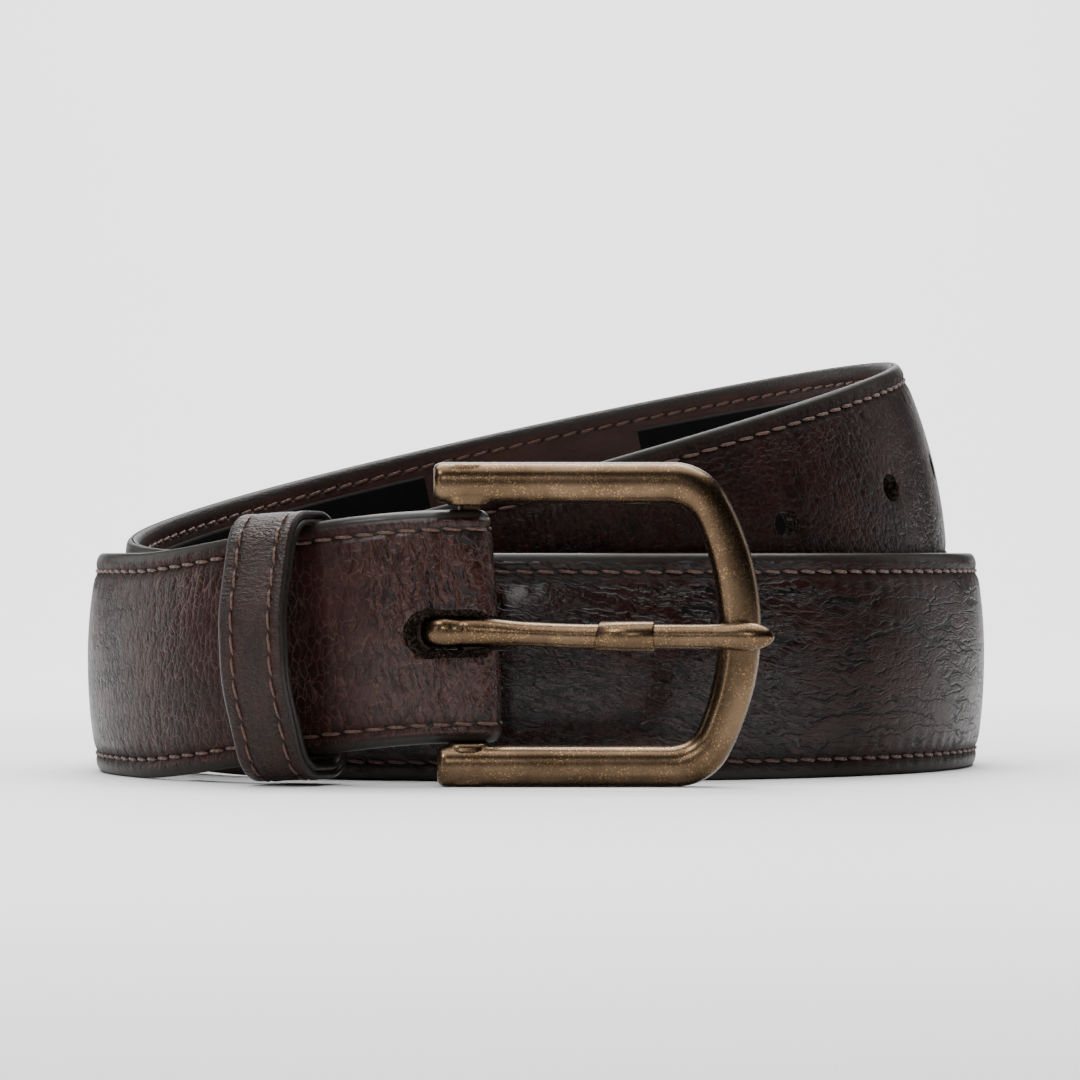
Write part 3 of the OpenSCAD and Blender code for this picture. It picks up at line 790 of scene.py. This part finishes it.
def buckle_frame():
    """A D-shaped frame, open on its left, and a lug on the end of each rail that holds the bar."""
    outer = d_outline(RAIL_END, FRAME_R, FRAME_H / 2, 40.5, 9)
    inner = d_outline(RAIL_END, FRAME_R - SIDE_W, FRAME_H / 2 - RAIL_W, 38.5, 5)
    count, around = len(outer), 26
    points = []
    for i in range(count):
        o, q = outer[i], inner[i]
        into = min(o[0], q[0]) - RAIL_END
        shrink = math.sqrt(1 - (1 - min(1, into / 1.5)) ** 2) if into < 1.5 else 1.0
        size = 0.70 + 0.30 * shrink
        mid, half = (o + q) / 2, (o - q) / 2 * size
        for k in range(around):
            a = 2 * math.pi * k / around
            c, d = math.cos(a), math.sin(a)
            across = math.copysign(abs(c) ** 0.85, c)
            deep = abs(d) ** 0.80 * (0.70 if d > 0 else 0.30)
            y = FRAME_Y + 0.70 * FRAME_T - (deep if d > 0 else -deep) * FRAME_T * size
            x, z = mid + half * across
            points.append((x - 0.012 * z, y, z))
    points = np.array(points) + [bar[0], bar[1], FRAME_H / 2]
    ring = outward(mesh_object("belt_buckle", points, tube_faces(count, around), [BRASS]), 60)
    lugs = []
    for low, high in ((0.3, 6.5), (FRAME_H - 6.5, FRAME_H - 0.3)):
        outline = []
        corners = ((0, 0, 3.0, 0, 180), (-1.3, -4.2, 2.2, 180, 270), (0.9, -4.2, 2.2, 270, 360))
        for cx, cy, rx, a0, a1 in corners:
            for a in np.linspace(math.radians(a0), math.radians(a1), 9):
                outline.append((cx + rx * math.cos(a), cy + rx * math.sin(a)))
        outline = np.array(outline)
        centre = outline.mean(0)
        pts = []
        for t in np.linspace(0, 1, 9):
            up = (1 - math.cos(math.pi * t)) / 2
            grow = 1 - 0.16 * (1 - math.sin(math.pi * t)) ** 2
            for x, y in (outline - centre) * grow + centre:
                pts.append((bar[0] + x, bar[1] + y, low + (high - low) * up))
        lugs.append(outward(mesh_object("lug", pts, tube_faces(9, len(outline)), [BRASS]), 60))
    combine(ring, lugs, "UNION")
    ring.data.set_sharp_from_angle(angle=math.radians(60))
    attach(ring, "buckle")
    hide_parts("buckle_frame")


# the prong's rod starts in front of the bar and leans out over the frame's right side; X and Y from the bar
ROD_R = 1.95
ROD_START = np.array([0.0, -2.4])
LEAN_ANGLE = math.asin((FRAME_Y - ROD_R - 0.1 - ROD_START[1]) / (FRAME_R - SIDE_W))
ROD_ALONG = np.array([math.cos(LEAN_ANGLE), math.sin(LEAN_ANGLE)])
SLEEVE_FROM, SLEEVE_L = 19.6, 8.7


def prong():
    """An eye round the bar and a rod that leans out to lie on the frame, in one swept band."""
    rings = []  # middle in X and Y from the bar, half width, half thickness, and a rise
    for a in np.linspace(75, 268, 34):
        back = -3.0 if a > 90 else 0.0
        c, d = math.cos(math.radians(a)), math.sin(math.radians(a))
        square = [math.copysign(3.2 * abs(k) ** 0.78, k) for k in (c, d)]
        rings.append((back + square[0], square[1], 2.30, 1.4, 0.25))
    length = 46.2
    near_tip = length - 5.2 * (1 - np.sin(np.linspace(0, math.pi / 2, 26)))
    for t in np.concatenate([np.linspace(-1.5, length - 5.6, 52), near_tip]):
        x, y = ROD_START + ROD_ALONG * t
        y -= 0.35 * (1 - smooth((t + 1) / 9.0))
        left = max(0.0, length - t)
        tip = math.sqrt(max(0.0, 1 - (1 - min(1.0, left / 4.4)) ** 2.6))
        bulb = 0.34 * math.exp(-(((left - 4.6) / 3.2) ** 2))
        wide = 1.84 + 0.46 * (1 - smooth((t + 1) / 10)) + bulb
        thick = 1.80 + 0.12 * math.exp(-(((left - 4.6) / 3.0) ** 2))
        rings.append((x, y, max(0.1, wide * tip), max(0.1, thick * tip), 0.25 - 0.60 * smooth((t + 1) / 20)))
    line = np.array([r[:2] for r in rings])
    dirs = np.gradient(line, axis=0)
    dirs /= np.linalg.norm(dirs, axis=1)[:, None]
    around, points = 24, []
    for (x, y, wide, thick, rise), (dx, dy) in zip(rings, dirs):
        for k in range(around):
            a = 2 * math.pi * k / around
            up, out = wide * math.cos(a), thick * math.sin(a)
            points.append((bar[0] + x - dy * out, bar[1] + y + dx * out, PRONG_Z + rise + up))
    ob = outward(mesh_object("belt_prong", points, tube_faces(len(rings), around), [BRASS]), 60)
    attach(ob, "prong_unit")
    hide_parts("prong")


def prong_sleeve():
    """A small collar with soft rims, cut a little aslant on its left."""
    side = np.array([-ROD_ALONG[1], ROD_ALONG[0]])
    points, around, end = [], 28, SLEEVE_L
    section = [(0.0, 0.0), (0.03, 0.26), (0.2, 0.38), (end - 0.2, 0.38), (end - 0.03, 0.26), (end, 0.0)]
    section += [(end, -0.25), (0.0, -0.25)]
    for t, grow in section:
        for k in range(around):
            a = 2 * math.pi * k / around
            up, out = (1.90 + grow) * math.cos(a), (1.86 + grow) * math.sin(a)
            slant = 0.35 * math.cos(a) if t < end / 2 else 0.0
            x, y = ROD_START + ROD_ALONG * (SLEEVE_FROM + t + slant) + side * out
            points.append((bar[0] + x, bar[1] + y, PRONG_Z - 0.35 + up))
    ob = outward(mesh_object("belt_prong_sleeve", points, loop_faces(len(section), around), [BRASS]), 50)
    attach(ob, "prong_unit")
    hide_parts("prong_sleeve")


# ---------------------------------------------------------------- the keeper
KEEPER_S, KEEPER_W = 28.0, 11.0
KEEPER_FRONT, KEEPER_HALF = 9.9, 18.0
KEEPER_SEAM, KEEPER_STITCH = 3.2, 3.4
KEEPER_T = 2.2
KEEPER_BACK = CHAPE_GAP + FOLD_T - BACK_T + 1.6


def filleted(corners, count=12):
    """A closed line through corners of (x, y, radius), with an arc of count steps at each."""
    line = []
    total = len(corners)
    for i, (x, y, r) in enumerate(corners):
        here = np.array([x, y])
        before, after = (np.array(corners[(i + k) % total][:2]) - here for k in (-1, 1))
        before, after = before / np.linalg.norm(before), after / np.linalg.norm(after)
        half = math.acos(float(before @ after)) / 2
        middle = here + (before + after) / np.linalg.norm(before + after) * r / math.sin(half)
        start, end = here + before * r / math.tan(half), here + after * r / math.tan(half)
        a0, a1 = (math.atan2(*(q - middle)[::-1]) for q in (start, end))
        turn = (a1 - a0 + math.pi) % (2 * math.pi) - math.pi
        line += [middle + r * np.array([math.cos(a0 + turn * k / count), math.sin(a0 + turn * k / count)])
                 for k in range(count + 1)]
    return np.array(line)


def keeper_line(grow):
    """The loop in outward and up, grow outside its inner face. It starts at the middle of its back."""
    back, half = -KEEPER_BACK - grow, KEEPER_HALF + grow
    front = KEEPER_FRONT + grow
    base = filleted([(front, 5.2, 17 + grow), (4.6 + grow, half, 4.6 + grow), (back, half, 3.4 + grow),
                     (back, -half, 3.4 + grow), (4.6 + grow, -half, 4.6 + grow), (front, -5.2, 17 + grow)])
    ring = np.vstack([[back, 0.0], np.roll(base, -(len(base) // 2), axis=0), [back, 0.0]])
    along = np.concatenate([[0], np.cumsum(np.linalg.norm(np.diff(ring, axis=0), axis=1))])
    # as many points for every ply, so that the plies lie against each other
    at = np.linspace(0, along[-1], 221)[:-1]
    return np.stack([np.interp(at, along, ring[:, k]) for k in (0, 1)], -1)


def keeper_frame():
    """Where the keeper sits, and its directions along the strap, outward and up."""
    p, t, n = (a[0] for a in station(np.array([KEEPER_S]))[:3])
    lean = math.radians(3.0)
    up = np.array([0, 0, 1.0]) * math.cos(lean) + t * math.sin(lean)
    side = t * math.cos(lean) - np.array([0, 0, 1.0]) * math.sin(lean)
    return p + np.array([0, 0, -0.5]), side, n, up


def ply(name, node, g0, g1, width):
    """One ply of the keeper: a band from g0 to g1 outside the loop's inner face, with rounded edges."""
    at, side, out, up = keeper_frame()
    inner, outer = keeper_line(g0), keeper_line(g1)
    length = np.concatenate([[0], np.cumsum(np.linalg.norm(np.diff(outer, axis=0), axis=1))])
    count = len(inner)
    half = width / 2
    thick = g1 - g0
    section = []
    for a in np.linspace(-90, 90, 9):
        section.append((half - thick / 2 + thick / 2 * math.cos(math.radians(a)),
                        0.5 + 0.5 * math.sin(math.radians(a))))
    top = [(x, 1.0) for x in np.linspace(half - thick / 2, -half + thick / 2, 18)[1:-1]]
    left = [(-x, f) for x, f in reversed(section)]
    low = [(x, 0.0) for x in np.linspace(-half + thick / 2, half - thick / 2, 5)[1:-1]]
    section = section + top + left + low
    points, coords = [], []
    for i in range(count):
        for x, f in section:
            n, w = inner[i] + (outer[i] - inner[i]) * f
            if f == 1.0 and g1 == KEEPER_T:
                away = abs(abs(x) - KEEPER_SEAM)
                pitch = abs((length[i] / KEEPER_STITCH + 0.5) % 1 - 0.5) * KEEPER_STITCH
                n_in = 0.20 * math.exp(-((away / 0.4) ** 2)) * (1 + math.exp(-((pitch / 0.5) ** 2)))
                d = (outer[i] - inner[i]) / thick
                n, w = n - d[0] * n_in, w - d[1] * n_in
            points.append(at + side * x + out * n + up * w)
            coords.append((x * 5.0 / half, length[i]))
    ob = outward(mesh_object(name, points, loop_faces(count, len(section)), [KEEPER], coords), 70)
    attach(ob, "keeper")
    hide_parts(node)


def keeper_stitches():
    """The two seams on the front of the keeper."""
    at, side, out, up = keeper_frame()
    outer = keeper_line(KEEPER_T)
    length = np.concatenate([[0], np.cumsum(np.linalg.norm(np.diff(outer, axis=0), axis=1))])
    low, high = sorted((float(length[np.argmax(outer[:, 1])]), float(length[np.argmin(outer[:, 1])])))
    starts = np.arange(math.ceil(low / KEEPER_STITCH), math.floor(high / KEEPER_STITCH)) * KEEPER_STITCH + 0.2
    seams = []
    for edge in (-KEEPER_SEAM, KEEPER_SEAM):
        def where(q):
            n = np.interp(q[:, 0], length, outer[:, 0])
            w = np.interp(q[:, 0], length, outer[:, 1])
            dn = np.gradient(outer[:, 0], length)
            dw = np.gradient(outer[:, 1], length)
            a, b = np.interp(q[:, 0], length, dw), -np.interp(q[:, 0], length, dn)
            size = np.hypot(a, b)
            h = q[:, 2] - 0.14
            n, w = n + a / size * h, w + b / size * h
            return at + np.outer(edge + q[:, 1], side) + np.outer(n, out) + np.outer(w, up)
        seams.append(capsule_row(starts, 3.05, where, 0.22, 0.18))
    points, faces, coords = joined(seams)
    ob = outward(mesh_object("keeper_stitching", points, faces, [THREAD], coords), 180)
    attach(ob, "keeper")
    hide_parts("keeper_thread")


outer_leather()
lining()
stitches("needle_stitches", "needle_thread", 1, -7, STRAP_LEN - 18)
stitches("bobbin_stitches", "bobbin_thread", -1, CHAPE_LEN + 4, STRAP_LEN - 18)
panel("black_panel_long", "lining_panel_long", 540.0, 624.0)
panel("black_panel_short", "lining_panel_short", 664.0, 710.0)
buckle_frame()
prong()
prong_sleeve()
ply("keeper_outer_ply", "keeper_outer", 1.02, KEEPER_T, KEEPER_W)
ply("keeper_lining_ply", "keeper_lining", 0.0, 1.0, KEEPER_W - 0.1)
keeper_stitches()

for node, look in (("padding_core", CORE), ("hinge_bar", STEEL), ("keeper_staple", STEEL)):
    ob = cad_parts[node]
    ob.data.materials.clear()
    ob.data.materials.append(look)


# ---------------------------------------------------------------- stage, light and camera
def stage_mesh(name, points, faces, look):
    me = bpy.data.meshes.new(name)
    me.from_pydata(points, [], faces)
    me.materials.append(look)
    me.polygons.foreach_set("use_smooth", [True] * len(me.polygons))
    ob = bpy.data.objects.new(name, me)
    bpy.context.scene.collection.objects.link(ob)


paper, g = material("paper")
g.set(Base_Color=(0.86, 0.86, 0.86), Roughness=0.6)
stage_mesh("floor", [(x, y, 0.0) for y in (-2.5, 1.0) for x in (-2.5, 2.5)], [(0, 1, 3, 2)], paper)
sweep_r, wall_y, wall_top = 0.6, 1.6, 2.0
wall = [(wall_y - sweep_r * (1 - math.sin(a)), sweep_r * (1 - math.cos(a)))
        for a in np.linspace(0, math.pi / 2, 12)] + [(wall_y, wall_top)]
stage_mesh("backdrop", [(x, y, z) for y, z in wall for x in (-0.55, 0.55)],
           [(2 * i, 2 * i + 1, 2 * i + 3, 2 * i + 2) for i in range(len(wall) - 1)], paper)


def area_light(name, at, to, size, power, spread=180):
    lamp = bpy.data.lights.new(name, "AREA")
    lamp.shape, lamp.size, lamp.size_y = "RECTANGLE", size[0], size[1]
    lamp.energy, lamp.spread = power, math.radians(spread)
    ob = bpy.data.objects.new(name, lamp)
    bpy.context.scene.collection.objects.link(ob)
    ob.location = at
    ob.rotation_euler = (Vector(to) - Vector(at)).to_track_quat("-Z", "Y").to_euler()


area_light("overhead", (0.0, 0.26, 0.95), (0, 0.02, 0.02), (1.3, 0.8), 21)
area_light("left_rim", (-0.70, 0.36, 0.22), (-0.05, 0, 0.02), (0.55, 0.5), 2.1)
area_light("right_rim", (0.72, 0.40, 0.22), (0.05, 0, 0.03), (0.45, 0.5), 0.75)
area_light("key", (-0.42, -0.55, 0.72), (0, -0.02, 0.02), (0.20, 0.20), 2.4)
area_light("strip", (-0.48, -0.62, 0.10), (0, -0.05, 0.025), (0.06, 0.5), 0.65)
area_light("front", (-0.13, -0.86, 0.31), (0, -0.05, 0.03), (0.12, 0.12), 0.8)
area_light("floor_pool", (0.0, -0.30, 0.40), (0, -0.30, 0), (0.6, 0.35), 0.75, spread=80)
area_light("behind", (0.0, 0.7, 1.3), (0.0, 1.6, 0.5), (0.9, 0.5), 48)

world = bpy.data.worlds.new("studio")
bpy.context.scene.world = world
world.use_nodes = True
world.node_tree.nodes["Background"].inputs["Color"].default_value = (0.8, 0.82, 0.85, 1)
world.node_tree.nodes["Background"].inputs["Strength"].default_value = 0.03

cam_data = bpy.data.cameras.new("camera")
cam_data.lens, cam_data.sensor_width, cam_data.shift_y = 177.7, 36.0, 0.012
cam_data.clip_start, cam_data.clip_end = 0.05, 20.0
cam = bpy.data.objects.new("camera", cam_data)
bpy.context.scene.collection.objects.link(cam)
cam.location = (-0.0002, -0.8712, 0.035)
cam.rotation_euler = (math.pi / 2, 0, 0)
bpy.context.scene.camera = cam
